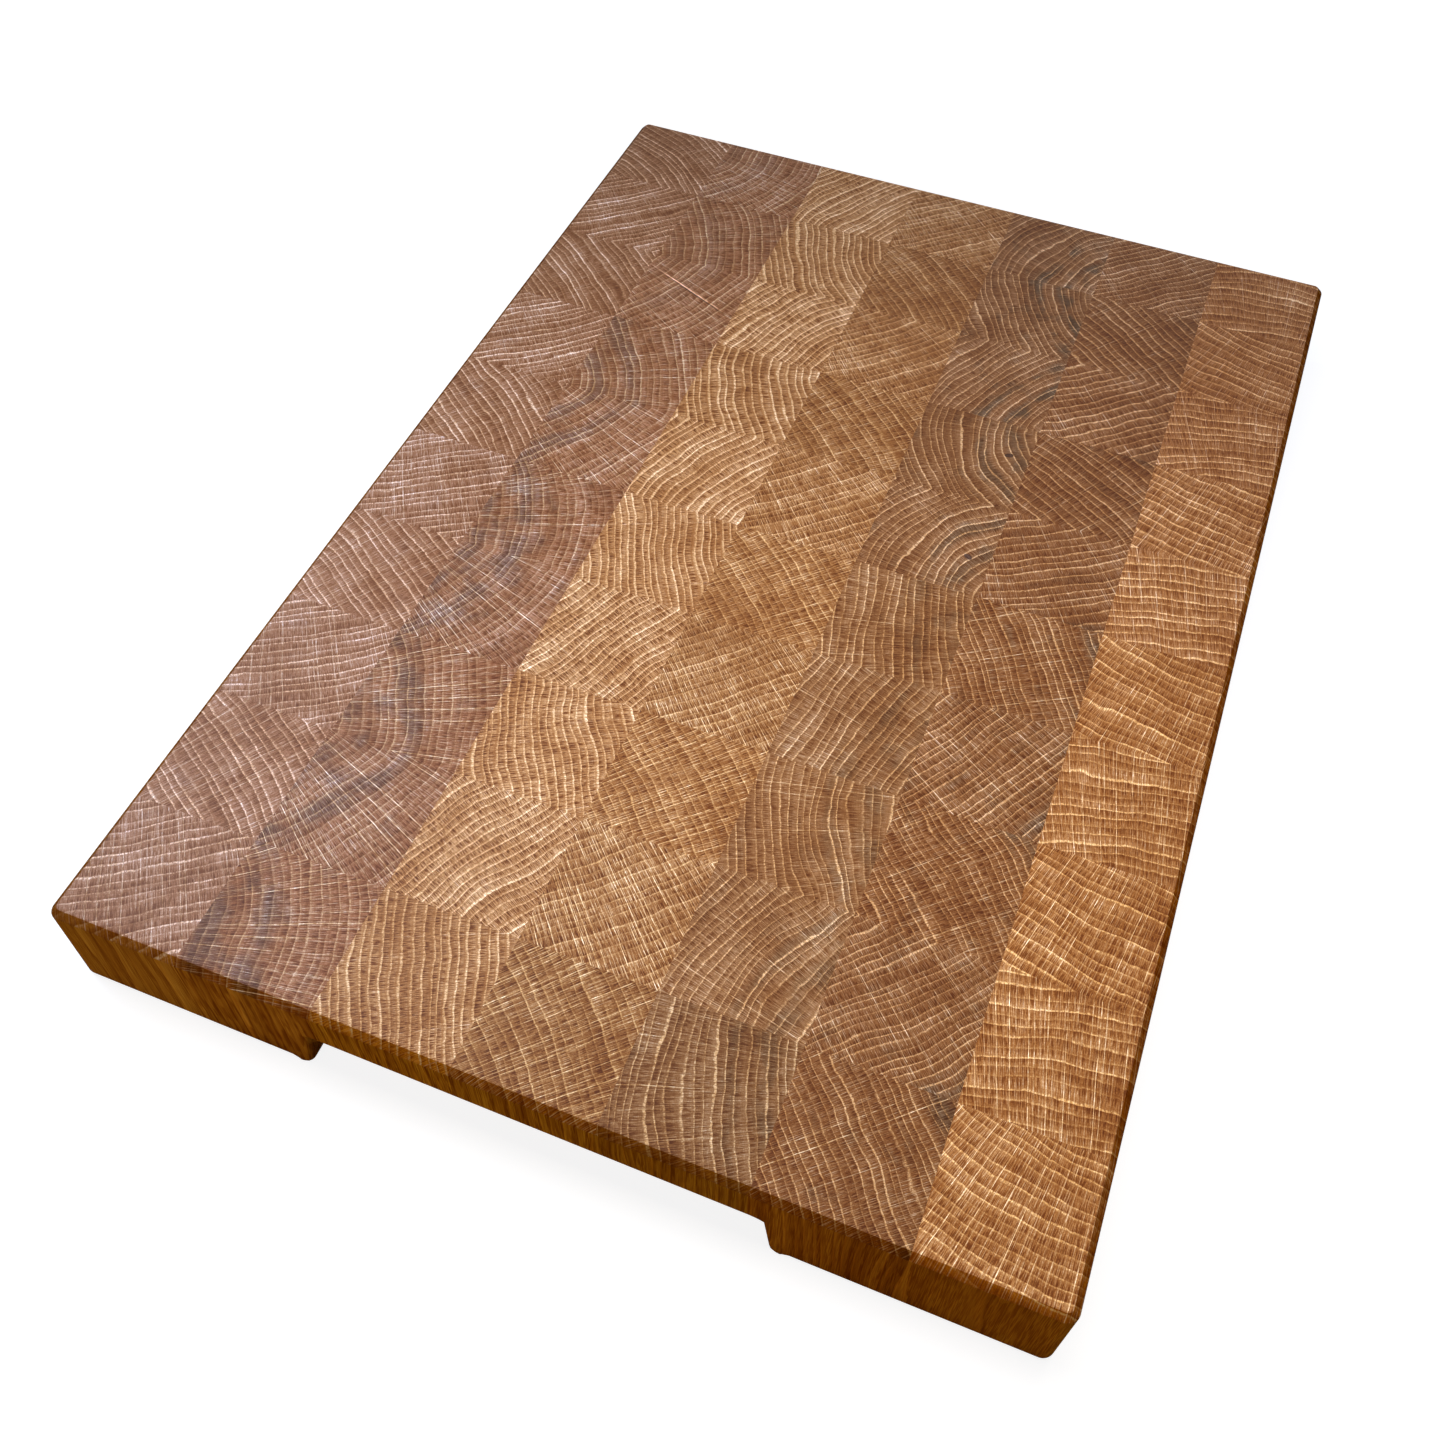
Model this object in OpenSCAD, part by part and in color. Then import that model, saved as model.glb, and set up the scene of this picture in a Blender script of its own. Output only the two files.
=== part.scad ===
// End-grain oak cutting board: blocks glued side by side with their fibres upright.
// Staves run front to back, strips run left to right, and each crossing is one block.
// The origin is the centre of the underside, with +X to the right, +Y to the back and +Z up.

/* [Blocks] */
// Number of staves, left to right
stave_count = 7; // [5:1:7]
// Width of a stave
stave_width = 40; // [34:1:48]
// Number of strips, front to back
strip_count = 10; // [6:1:10]
// Depth of a strip, front to back
strip_depth = 40; // [34:1:48]
// Thickness of the board, which is the length of the fibres
board_thickness = 35; // [30:1:60]

/* [Edges] */
// Width and height of the flat bevel round the top
top_bevel = 2; // [0.5:0.25:3]
// Width and height of the small bevel round the underside
foot_bevel = 1.5; // [0.25:0.25:2]
// Radius of the four upright corners
corner_radius = 3.5; // [3.5:0.5:8]

/* [Finger recesses] */
// Width of a recess at its ceiling
recess_width = 128; // [80:1:150]
// Widening of a recess at each end, from the ceiling down to the underside
recess_draft = 2; // [1:0.5:5]
// Height of a recess, from the underside up to its ceiling
recess_height = 20; // [12:1:24]
// Depth of a recess, in from the end of the board
recess_depth = 20; // [12:1:30]
// Radius of the cove between the ceiling and the inner wall
recess_cove = 5; // [2:0.5:10]

/* [Hidden] */
board_width = stave_count * stave_width;
board_length = strip_count * strip_depth;
// How far a cut runs past the face that it opens
overcut = 5;
// Fineness of the round corners and coves in a preview
$fn = 48;

// Oiled oak tones of the staves, left to right
stave_tones = ["#7d583a", "#6e4a33", "#a5763f", "#946333", "#7f5a34", "#835830", "#9c6a35"];

function stave_tone(stave) = stave_tones[(stave - 1) % len(stave_tones)];

// Every other strip is turned end for end, so inner blocks two strips apart face the same way.
// The edge of the board is one block deep all round.
facing_step = 2;
edge_block_count = 1;
first_inner = edge_block_count + 1;

// Inner blocks that face the same way share a name in pairs, and never touch
function starts_pair(strip) = (strip - first_inner) % (2 * facing_step) < facing_step;

function has_partner(strip) = strip + facing_step < strip_count;

function inner_strips(strip) = has_partner(strip) ? [strip, strip + facing_step] : [strip];

function front_name(stave) = str("front_block_", stave);

function back_name(stave) = str("back_block_", stave);

function left_name(strip) = str("left_block_", strip);

function right_name(strip) = str("right_block_", strip);

function inner_name(stave, strip) =
    has_partner(strip)
        ? str("stave_", stave, "_blocks_", strip, "_and_", strip + facing_step)
        : str("stave_", stave, "_block_", strip);

all_staves = [1 : stave_count];
inner_staves = [first_inner : stave_count - 1];
side_strips = [first_inner : strip_count - 1];
pair_starts = [for (strip = side_strips) if (starts_pair(strip)) strip];

// Upright cross-section of the board, with its top and underside bevels
module board_section(span) {
    side = span / 2;
    polygon([
        [-side + foot_bevel, 0],
        [side - foot_bevel, 0],
        [side, foot_bevel],
        [side, board_thickness - top_bevel],
        [side - top_bevel, board_thickness],
        [-side + top_bevel, board_thickness],
        [-side, board_thickness - top_bevel],
        [-side, foot_bevel]
    ]);
}

// Round corner post that carries both bevels round a corner of the board
module corner_post() {
    rotate_extrude()
        polygon([
            [0, 0],
            [corner_radius - foot_bevel, 0],
            [corner_radius, foot_bevel],
            [corner_radius, board_thickness - top_bevel],
            [corner_radius - top_bevel, board_thickness],
            [0, board_thickness]
        ]);
}

// The finished outside of the board, before it is divided into blocks
module board_form() {
    corner_x = board_width / 2 - corner_radius;
    corner_y = board_length / 2 - corner_radius;
    rotate([90, 0, 0])
        linear_extrude(2 * corner_y, center = true)
            board_section(board_width);
    rotate([90, 0, 90])
        linear_extrude(2 * corner_x, center = true)
            board_section(board_length);
    for (x = [-corner_x, corner_x], y = [-corner_y, corner_y])
        translate([x, y, 0])
            corner_post();
}

// Front view of a recess: narrowest at its ceiling, and open below
module recess_front_view() {
    half_ceiling = recess_width / 2;
    half_mouth = half_ceiling + recess_draft * (recess_height + overcut) / recess_height;
    polygon([
        [-half_mouth, -overcut],
        [half_mouth, -overcut],
        [half_ceiling, recess_height],
        [-half_ceiling, recess_height]
    ]);
}

// Side view of a recess: square below, with a cove where the ceiling meets the inner wall
module recess_side_view() {
    translate([-overcut, -overcut])
        square([overcut + recess_depth - recess_cove, overcut + recess_height]);
    translate([-overcut, -overcut])
        square([overcut + recess_depth, overcut + recess_height - recess_cove]);
    translate([recess_depth - recess_cove, recess_height - recess_cove])
        circle(recess_cove);
}

// Space for the fingers under the front end of the board
module finger_recess() {
    translate([0, -board_length / 2, 0])
        intersection() {
            rotate([90, 0, 0])
                linear_extrude(2 * (recess_depth + overcut), center = true)
                    recess_front_view();
            rotate([90, 0, 90])
                linear_extrude(board_width, center = true)
                    recess_side_view();
        }
}

// The room that one block takes up in the glued board
module block_room(stave, strip) {
    left = (stave - 1) * stave_width - board_width / 2;
    front = (strip - 1) * strip_depth - board_length / 2;
    translate([left, front, 0])
        cube([stave_width, strip_depth, board_thickness]);
}

// One block, cut from the finished outside of the board
module block(stave, strip) {
    intersection() {
        board_form();
        block_room(stave, strip);
    }
}

// One block of the front strip, with its share of the finger recess cut away
module front_block(stave) {
    color(stave_tone(stave))
        difference() {
            block(stave, 1);
            finger_recess();
        }
}

// One block of the back strip, with its share of the other finger recess cut away
module back_block(stave) {
    color(stave_tone(stave))
        difference() {
            block(stave, strip_count);
            mirror([0, 1, 0])
                finger_recess();
        }
}

// One block of the left stave, bevelled along its outer side
module left_block(strip) {
    color(stave_tone(1))
        block(1, strip);
}

// One block of the right stave, bevelled along its outer side
module right_block(strip) {
    color(stave_tone(stave_count))
        block(stave_count, strip);
}

// Plain blocks of an inner stave that face the same way
module inner_blocks(stave, strip) {
    color(stave_tone(stave))
        for (facing = inner_strips(strip))
            block_room(stave, facing);
}

for (stave = all_staves)
    front_block(stave);

for (stave = all_staves)
    back_block(stave);

for (strip = side_strips)
    left_block(strip);

for (strip = side_strips)
    right_block(strip);

for (stave = inner_staves, strip = pair_starts)
    inner_blocks(stave, strip);
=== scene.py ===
# %% [markdown]
# # An end-grain oak cutting board
#
# The board is a heavy slab of oak, glued up from 70 square blocks that stand on end, so that a knife meets
# the tips of the fibres. A joiner first glues seven long staves side by side, then saws the panel across
# into ten strips, stands each strip on its sawn face, turns every other one end for end, and glues them up
# again. This lesson starts with the frame that holds the sizes and with the studio. Then come the shape of
# one block, the log it was sawn from, and the finish, and at the end all the blocks are glued up.

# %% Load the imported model
import bpy
import numpy as np
from mathutils import Matrix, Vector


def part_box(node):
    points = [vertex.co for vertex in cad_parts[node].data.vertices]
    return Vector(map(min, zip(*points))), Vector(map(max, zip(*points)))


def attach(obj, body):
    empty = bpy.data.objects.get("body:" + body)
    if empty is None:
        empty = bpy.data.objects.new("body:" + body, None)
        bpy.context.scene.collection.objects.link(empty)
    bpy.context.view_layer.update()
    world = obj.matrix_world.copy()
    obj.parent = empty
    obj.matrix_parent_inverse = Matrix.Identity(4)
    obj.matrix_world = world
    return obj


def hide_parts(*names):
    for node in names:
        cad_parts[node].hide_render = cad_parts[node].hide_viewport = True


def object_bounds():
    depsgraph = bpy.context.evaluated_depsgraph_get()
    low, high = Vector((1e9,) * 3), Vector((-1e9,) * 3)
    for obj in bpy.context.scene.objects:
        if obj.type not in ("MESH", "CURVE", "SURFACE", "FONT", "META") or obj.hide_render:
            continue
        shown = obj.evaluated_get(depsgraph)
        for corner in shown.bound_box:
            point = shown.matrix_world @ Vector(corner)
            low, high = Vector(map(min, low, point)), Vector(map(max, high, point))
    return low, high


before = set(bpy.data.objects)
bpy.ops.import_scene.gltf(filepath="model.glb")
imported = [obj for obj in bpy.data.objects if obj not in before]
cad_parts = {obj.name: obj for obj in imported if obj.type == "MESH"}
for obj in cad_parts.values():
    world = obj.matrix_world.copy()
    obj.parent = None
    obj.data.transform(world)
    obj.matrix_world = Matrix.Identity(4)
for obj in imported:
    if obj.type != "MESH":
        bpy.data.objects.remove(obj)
cad_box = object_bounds()
print("packed model:", len(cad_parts), "nodes, from", list(cad_box[0]), "to", list(cad_box[1]), "m")

# %% [markdown]
# ## The camera
#
# The photograph looks down on the board from the front, a little to the right of its middle, and it is
# turned by about a degree. Its place was worked out from the straight edges and the corners of the board.
# The picture was cropped a little off its middle, which a shift of the lens repeats. A matrix has the
# right-hand, upward and backward directions and the place in its columns, so no angles need to be guessed.

# %% Set up the camera
camera_place = np.array([0.09348, -0.31428, 0.39257])
looking_along = np.array([-0.21175, 0.57500, -0.79028])
right_hand = np.array([0.93041, 0.36610, 0.01707])
lens_mm = 37.442
lens_shift = (-0.00425, -0.04064)
sensor_mm = 36.0
nearest_seen = 0.01


def standing(right, up, back, place):
    """Matrix of a thing that stands at a place: its three directions and the place are the columns."""
    columns = np.identity(4)
    columns[:3] = np.column_stack([right, up, back, place])
    return Matrix(columns.tolist())


camera_data = bpy.data.cameras.new("camera")
camera_data.lens = lens_mm
camera_data.shift_x, camera_data.shift_y = lens_shift
camera_data.sensor_width = sensor_mm
camera_data.clip_start = nearest_seen
camera = bpy.data.objects.new("camera", camera_data)
upward = np.cross(right_hand, looking_along)
camera.matrix_world = standing(right_hand, upward, -looking_along, camera_place)
scene = bpy.context.scene
scene.collection.objects.link(camera)
scene.camera = camera
scene.view_settings.view_transform = "Standard"
print("camera at", camera_place, "with a lens of", lens_mm, "mm")

# %% [markdown]
# ## Colours and nodes
#
# A colour is written as it looks on a screen, in sRGB, and Blender works with linear light, so one function
# turns the one into the other. A second small function adds any node, sets its values and links its inputs,
# and all the materials below are built with it.


# %% Helpers for colours and nodes
def linear(hex_colour):
    """Turns '#rrggbb' into linear red, green, blue and alpha: below 0.04045 a division by 12.92, above it
    a power of 2.4."""
    screen = np.array([int(hex_colour[i:i + 2], 16) for i in (1, 3, 5)]) / 255.0
    light = np.where(screen <= 0.04045, screen / 12.92, ((screen + 0.055) / 1.055) ** 2.4)
    return (*light.tolist(), 1.0)


def add(tree, kind, *inputs, named=None, output=0, **settings):
    """Adds a shader node of a kind with its settings. Inputs come in order, or by name or number where some
    are left out, and each is a value or a socket to link. Gives back one output, or all where it is None."""
    node = tree.nodes.new("ShaderNode" + kind)
    for setting, value in settings.items():
        setattr(node, setting, value)
    for key, value in [*enumerate(inputs), *(named or {}).items()]:
        if isinstance(value, bpy.types.NodeSocket):
            tree.links.new(value, node.inputs[key])
        else:
            node.inputs[key].default_value = value
    return node.outputs if output is None else node.outputs[output]


print("mid oak in linear light:", np.round(linear("#9c6a35"), 3))

# %% [markdown]
# ## The floor and the white surroundings
#
# The photograph has a plain white background. A studio gets that with a sheet of white paper. Here the
# floor is a wide flat sheet. What the camera sees of it is mostly a steady white, with a smaller part that
# still takes the shadow of the board, and further out the white grows, as if lamps of its own lit the sheet
# there. The world is white to the camera and in reflections, and for everything else only a weak, cool
# light.

# %% Make the floor
floor_reach = 4.0
floor_drop = 0.0002
corners = np.array([[-1, -1, 0], [1, -1, 0], [1, 1, 0], [-1, 1, 0]]) * floor_reach
corners = corners + [0, 0, cad_box[0].z - floor_drop]
floor_mesh = bpy.data.meshes.new("paper_floor")
floor_mesh.from_pydata(corners.tolist(), [], [(0, 1, 2, 3)])
floor = bpy.data.objects.new("paper_floor", floor_mesh)
scene.collection.objects.link(floor)
print("floor of", 2 * floor_reach, "metres, just below the board")

# %% Cover it with white paper
white = (1.0, 1.0, 1.0, 1.0)
larger = {"operation": "MAXIMUM"}
glow_grows_from = 0.26
glow_grows_to = 0.50
glow_near = 0.86
glow_far = 1.0


def seen_directly(tree):
    """1 where the camera sees a surface, also in a reflection or through glass, and 0 where it only sends
    out light: the largest of three marks that a ray carries."""
    ray = add(tree, "LightPath", output=None)
    either = add(tree, "Math", ray["Is Camera Ray"], ray["Is Glossy Ray"], **larger)
    return add(tree, "Math", either, ray["Is Transmission Ray"], **larger)


# Matt paper spreads light evenly and has no gloss: the camera sees its glow and, on the grey, the shadow
paper = bpy.data.materials.new("white paper, matt")
paper.use_nodes = True
tree = paper.node_tree
tree.nodes.clear()
sheet = add(tree, "BsdfDiffuse", linear("#e8e8e8"))
shaded = add(tree, "BsdfDiffuse", linear("#a0a0a0"))
place = add(tree, "TexCoord", output="Object")
away = add(tree, "VectorMath", place, operation="LENGTH", output="Value")
strength = add(tree, "MapRange", away, glow_grows_from, glow_grows_to, glow_near, glow_far)
glow = add(tree, "Emission", white, strength)
lit = add(tree, "AddShader", shaded, glow)
mixed = add(tree, "MixShader", seen_directly(tree), sheet, lit)
add(tree, "OutputMaterial", mixed, output=None)
floor_mesh.materials.append(paper)
print("floor material:", paper.name)

# %% Make the surroundings
fill_strength = 0.11
world = bpy.data.worlds.new("white studio")
world.use_nodes = True
tree = world.node_tree
tree.nodes.clear()
fill = add(tree, "Background", linear("#cfe0ff"), fill_strength)
backdrop = add(tree, "Background", white, 1.0)
mixed = add(tree, "MixShader", seen_directly(tree), fill, backdrop)
add(tree, "OutputWorld", mixed, output=None)
scene.world = world
print("surroundings:", world.name, "with a fill of", fill_strength)

# %% [markdown]
# ## The lamps
#
# In the photograph the front half of the board is brightest, its front face is dark, its left-hand part has
# a cool sheen, and its back lies in cooler light. So one soft lamp hangs above the front half. A cooler one
# stands high on the left, where the camera meets its reflection. A third, long and low, stands in front,
# where it lifts the front face and leaves the top alone. Last, a weak blue one hangs over the back, on the
# right. Each is aimed at a point on or near the board, and is out of the camera's sight.

# %% Hang the lamps
lamps = {
    "overhead lamp": {"place": (0.04, -0.065, 0.46), "aim": (0.04, -0.075, 0.0), "size": (0.32, 0.32),
                      "spread": 140, "watts": 1.14, "tint": "#fff4e4"},
    "window lamp": {"place": (-0.57, 0.05, 0.72), "aim": (-0.10, -0.22, 0.0), "size": (0.50, 0.50),
                    "spread": 62, "watts": 0.90, "tint": "#d0e2ff"},
    "low front lamp": {"place": (-0.25, -0.65, 0.03), "aim": (-0.03, -0.20, 0.02), "size": (0.50, 0.05),
                       "spread": 100, "watts": 0.35, "tint": "#fff0dc"},
    "cool back lamp": {"place": (0.12, 0.34, 0.60), "aim": (0.09, 0.17, 0.0), "size": (0.30, 0.30),
                       "spread": 50, "watts": 0.075, "tint": "#7aaeff"},
}
reflected_lamp = "window lamp"
lamp_top = np.array([0.0, 1.0, 0.2])
for name, lamp in lamps.items():
    light = bpy.data.lights.new(name, "AREA")
    light.shape = "RECTANGLE"
    light.size, light.size_y = lamp["size"]
    light.energy = lamp["watts"]
    light.color = linear(lamp["tint"])[:3]
    light.spread = np.radians(lamp["spread"])
    back = np.array(lamp["place"]) - np.array(lamp["aim"])
    back = back / np.linalg.norm(back)
    side = np.cross(lamp_top, back)
    side = side / np.linalg.norm(side)
    holder = bpy.data.objects.new(name, light)
    holder.matrix_world = standing(side, np.cross(back, side), back, lamp["place"])
    holder.visible_camera = False
    holder.visible_glossy = name == reflected_lamp
    scene.collection.objects.link(holder)
    print(name, "at", lamp["place"], "with", lamp["watts"], "watts")

# %% [markdown]
# ## Where each block stands
#
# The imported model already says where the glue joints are, so the script reads them instead of repeating the
# sizes. Staves are counted from the left and strips from the front. From here on, all sizes are in
# millimetres.

# %% Read the joints from the frame
METRE = 1000.0
stave_count = 7
strip_count = 10


def node_of(stave, strip):
    """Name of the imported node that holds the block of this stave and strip. An inner node holds two blocks
    of one stave, two strips apart."""
    if strip == 1:
        return f"front_block_{stave}"
    if strip == strip_count:
        return f"back_block_{stave}"
    if stave == 1:
        return f"left_block_{strip}"
    if stave == stave_count:
        return f"right_block_{strip}"
    first = strip if (strip - 2) % 4 < 2 else strip - 2
    return f"stave_{stave}_blocks_{first}_and_{first + 2}"


stave_lines = [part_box(node_of(stave, 1))[0].x * METRE for stave in range(1, stave_count + 1)]
stave_lines.append(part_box(node_of(stave_count, 1))[1].x * METRE)
strip_lines = [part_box(node_of(1, strip))[0].y * METRE for strip in range(1, strip_count + 1)]
strip_lines.append(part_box(node_of(1, strip_count))[1].y * METRE)
stave_lines = np.round(stave_lines, 3)
strip_lines = np.round(strip_lines, 3)
thickness = round(cad_box[1].z * METRE, 3)
half_width = stave_lines[-1]
half_length = strip_lines[-1]
print("stave joints at", stave_lines, "strip joints at", strip_lines, "thickness", thickness)

# %% [markdown]
# ## The outside of the board
#
# After glue-up the board is sanded, its corners are rounded, a flat bevel is planed round the top and a
# small one round the underside. So the shape is described for the whole board, and each block takes its
# share. A point near an outside edge is drawn inwards by an inset, which depends on the height. At the
# corners the same step turns a square into a quarter circle. Sanding softens the edges of both bevels.

# %% Describe the outside
corner_radius = 3.5
top_bevel = 2.0
foot_bevel = 1.5
softness = 0.4


def drawn_in(x, y, inset):
    """Moves a plan point inwards. The nearest point of the core, which is the board less the corner radius,
    is found by clamping. The way from there is shortened by (radius - inset) / radius, and at a corner also
    by the ratio of the longer leg to the hypotenuse, which bends the square corner into an arc."""
    core_x = np.clip(x, corner_radius - half_width, half_width - corner_radius)
    core_y = np.clip(y, corner_radius - half_length, half_length - corner_radius)
    away_x = x - core_x
    away_y = y - core_y
    longer = np.maximum(np.abs(away_x), np.abs(away_y))
    straight = np.hypot(away_x, away_y)
    shorten = (corner_radius - inset) / corner_radius * longer / np.maximum(straight, 1e-9)
    return core_x + away_x * shorten, core_y + away_y * shorten


def eased(start, corner, end, steps=4):
    """Points on the quadratic curve from start to end that a sharp corner pulls towards itself."""
    t = np.linspace(0.0, 1.0, steps)[:, None]
    return (1 - t) ** 2 * np.array(start) + 2 * t * (1 - t) * np.array(corner) + t ** 2 * np.array(end)


# On a bevel of 45 degrees, a step as long as the softness goes about 0.7 of it inwards and down
slant = softness * 0.7
top_edge = np.concatenate([
    eased((top_bevel + softness, 0.0), (top_bevel, 0.0), (top_bevel - slant, -slant)),
    eased((slant, slant - top_bevel), (0.0, -top_bevel), (0.0, -top_bevel - softness)),
])
foot_edge = np.concatenate([
    eased((0.0, foot_bevel + softness), (0.0, foot_bevel), (slant, foot_bevel - slant)),
    eased((foot_bevel - slant, slant), (foot_bevel, 0.0), (foot_bevel + softness, 0.0)),
])
print("the edge profile has", len(top_edge), "points above and", len(foot_edge), "below")

# %% [markdown]
# ## The finger recesses
#
# Under each end a shallow pocket lets the fingers lift the board. It was routed from below: a flat ceiling,
# a cove where the ceiling meets the inner wall, and end walls that lean outwards a little, rounded above and
# below. Where the pocket opens in the end of the board, the edges of its end walls are rounded over, most of
# all at the foot. The pocket is a height above the table for each plan point, which is the lower of two
# profiles, one across the board and one along it.

# %% Describe the recess
recess_height = 20.0
recess_half_width = 64.0
recess_lean = 2.0
recess_depth = 20.0
recess_cove = 5.0
ceiling_round = 2.0
mouth_round = 2.0
wall_lean = 0.5
wall_top = recess_half_width - ceiling_round
wall_foot = recess_half_width + recess_lean + foot_bevel


def arc_drop(distance, radius):
    """How far a quarter circle has fallen after this distance: the radius less the other leg of the
    triangle."""
    leg = np.clip(distance, 0.0, radius)
    return radius - np.sqrt(radius ** 2 - leg ** 2)


def recess_ceiling(across, depth):
    """Height of the pocket over the table, the lower of two profiles. Across the board: the ceiling, a
    quarter circle, the leaning end wall, and a quarter circle out to the underside. Along the board: the
    ceiling, a quarter circle for the cove, and a nearly upright inner wall."""
    out = np.abs(across)
    shoulder = recess_height - arc_drop(out - wall_top, ceiling_round)
    wall_ends = [recess_half_width, recess_half_width + recess_lean]
    wall = np.interp(out, wall_ends, [recess_height - ceiling_round, foot_bevel])
    over_width = np.where(out < wall_ends[0], shoulder, np.where(out < wall_ends[1], wall, 0.0))
    over_width = np.where(out < wall_ends[1], over_width, arc_drop(wall_foot - out, foot_bevel))
    cove = recess_height - arc_drop(depth - recess_depth + recess_cove, recess_cove)
    still_up = np.clip((recess_depth + wall_lean - depth) / wall_lean, 0.0, 1.0)
    upright = (recess_height - recess_cove) * still_up
    over_depth = np.where(depth <= recess_depth, cove, upright)
    return np.minimum(over_width, over_depth)


print("ceiling in the middle:", recess_ceiling(0.0, recess_depth / 2), "mm, and behind the inner wall:",
      recess_ceiling(0.0, recess_depth + recess_cove))

# %% [markdown]
# ## The surface of one block
#
# A block is one closed skin: a grid over its top, a grid over its underside, and rows of points round its
# sides from one to the other. The grid has a line every 2.5 mm, with more of them where an edge is rounded,
# so that the shape and the grain that it carries stay smooth. All the points are worked out as whole arrays.

# %% Lay out the grid lines
even_lines = 17
clear_of_border = 0.2
clear_of_special = 0.7
edge_lines = np.array([0.5, 1.0, 1.6, 2.3, 3.0, 3.5, 4.4])
mouth_lines = np.array([0.3, 0.8, 1.4, 2.0])
cove_lines = recess_depth + np.array([-5.0, -3.7, -2.5, -1.5, -0.7, -0.2, 0.0, 0.5])
wall_lines = recess_half_width + np.array(
    [-2.1, -1.3, -0.7, -0.3, -0.07, 0.0, 0.5, 1.0, 1.5, 1.99, 2.1, 2.45, 2.95, 3.5, 5.0, 7.0])


def grid_lines(low, high, special):
    """Evenly spaced lines from low to high, and the special ones, which take the place of any even line
    close by."""
    special = special[(special > low + clear_of_border) & (special < high - clear_of_border)]
    even = np.linspace(low, high, even_lines)
    gap = np.abs(even[:, None] - np.append(special, np.inf)[None, :]).min(axis=1)
    keep = gap > clear_of_special
    keep[[0, -1]] = True
    return np.sort(np.concatenate([even[keep], special]))


def block_lines(stave, strip):
    """Grid lines of a block, across and along the board."""
    across = np.concatenate([half_width - edge_lines, edge_lines - half_width])
    along = np.concatenate([half_length - edge_lines, edge_lines - half_length])
    if strip in (1, strip_count):
        across = np.concatenate([across, wall_lines, -wall_lines])
        if 1 < stave < stave_count:
            inward = np.concatenate([mouth_lines, cove_lines])
            along = np.concatenate([half_length - inward, inward - half_length])
    x = grid_lines(stave_lines[stave - 1], stave_lines[stave], across)
    y = grid_lines(strip_lines[strip - 1], strip_lines[strip], along)
    return x, y


print("a corner block has", [len(lines) for lines in block_lines(1, 1)], "grid lines, an inner one",
      [len(lines) for lines in block_lines(3, 4)])

# %% Fit the foot of an end block to the recess
swing_from = wall_top - 2.0
swing_to = wall_foot + 6.5
bevel_whole = wall_foot + 3.5
bevel_in_recess = 0.25


def fitted_foot(plan_x, plan_y):
    """What the recess does to the foot of an end block, as four grids. Its x swings outwards near the mouth,
    by a quarter circle times a swing that is largest at the foot of the end wall. Its height is that of the
    pocket. Along the pocket its bevel shrinks to a quarter, and at the end walls to nothing, because the
    rounded mouth takes its place. The height of the bevel grows back beyond the wall."""
    depth = half_length - np.abs(plan_y)
    out = np.abs(plan_x)
    swing = np.interp(out, [swing_from, wall_top, wall_foot, swing_to], [0.0, 0.4, 1.1, 0.0])
    foot_x = plan_x + np.sign(plan_x) * swing * arc_drop(mouth_round - depth, mouth_round)
    bevel_places = [wall_top - 1.0, wall_top, wall_foot, bevel_whole]
    bevel = np.interp(out, bevel_places, [bevel_in_recess, 0.0, 0.0, 1.0])
    lift = np.interp(out, [wall_foot, bevel_whole], [bevel_in_recess, 1.0])
    return foot_x, recess_ceiling(plan_x, depth), bevel, lift


print("the foot bevel is whole", bevel_whole, "mm from the middle of the board")

# %% Work out the skin of a block
side_rows = 6
square_edge = np.array([[0.0, 0.0]])


def round_the_rim(grid):
    """The outermost entries of a grid, in order: front to the right, right side, back, and left side."""
    return np.concatenate([grid[:-1, 0], grid[-1, :-1], grid[:0:-1, -1], grid[0, :0:-1]])


def block_points(stave, strip):
    """Points of a block as three arrays: the top grid, the rows of the sides and the underside grid. A side
    row lies on the rim of the block, drawn in by the edge profile, at the height that the profile and the
    recess give. Between the two profiles, rows at even heights lead from the top to the foot."""
    plan_x, plan_y = np.meshgrid(*block_lines(stave, strip), indexing="ij")
    at_end = strip in (1, strip_count)
    outer = at_end or stave in (1, stave_count)
    whole = np.ones_like(plan_x)
    plain_foot = (plan_x, np.zeros_like(plan_x), whole, whole)
    foot_x, ceiling, bevel, lift = fitted_foot(plan_x, plan_y) if at_end else plain_foot
    above = top_edge if outer else square_edge
    below = foot_edge if outer else square_edge
    top = np.stack([*drawn_in(plan_x, plan_y, above[0, 0]), thickness * whole], axis=-1)
    foot = np.stack([*drawn_in(foot_x, plan_y, below[-1, 0] * bevel), ceiling], axis=-1)
    grids = (plan_x, plan_y, foot_x, ceiling, bevel, lift)
    rim_x, rim_y, rim_foot_x, rim_ceiling, rim_bevel, rim_lift = [round_the_rim(grid) for grid in grids]
    high = thickness + above[-1, 1]
    low = rim_ceiling + below[0, 1] * rim_lift
    rows = []
    for inset, z in above[1:]:
        plan = drawn_in(rim_x, rim_y, inset)
        rows.append(np.stack([*plan, np.full_like(rim_x, thickness + z)], axis=-1))
    for share in np.linspace(0.0, 1.0, side_rows + 2)[1:-1] if outer else []:
        plan = drawn_in(rim_x + (rim_foot_x - rim_x) * share, rim_y, 0.0)
        rows.append(np.stack([*plan, high + (low - high) * share], axis=-1))
    for inset, z in below[:-1]:
        plan = drawn_in(rim_foot_x, rim_y, inset * rim_bevel)
        rows.append(np.stack([*plan, rim_ceiling + z * rim_lift], axis=-1))
    return top, np.array(rows).reshape(len(rows), len(rim_x), 3), foot


for sample in [(1, 1), (2, 1), (4, 5)]:
    top, sides, foot = block_points(*sample)
    print("block", sample, "has a top of", top.shape[:2], "points and", len(sides), "rows round its sides")

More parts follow.
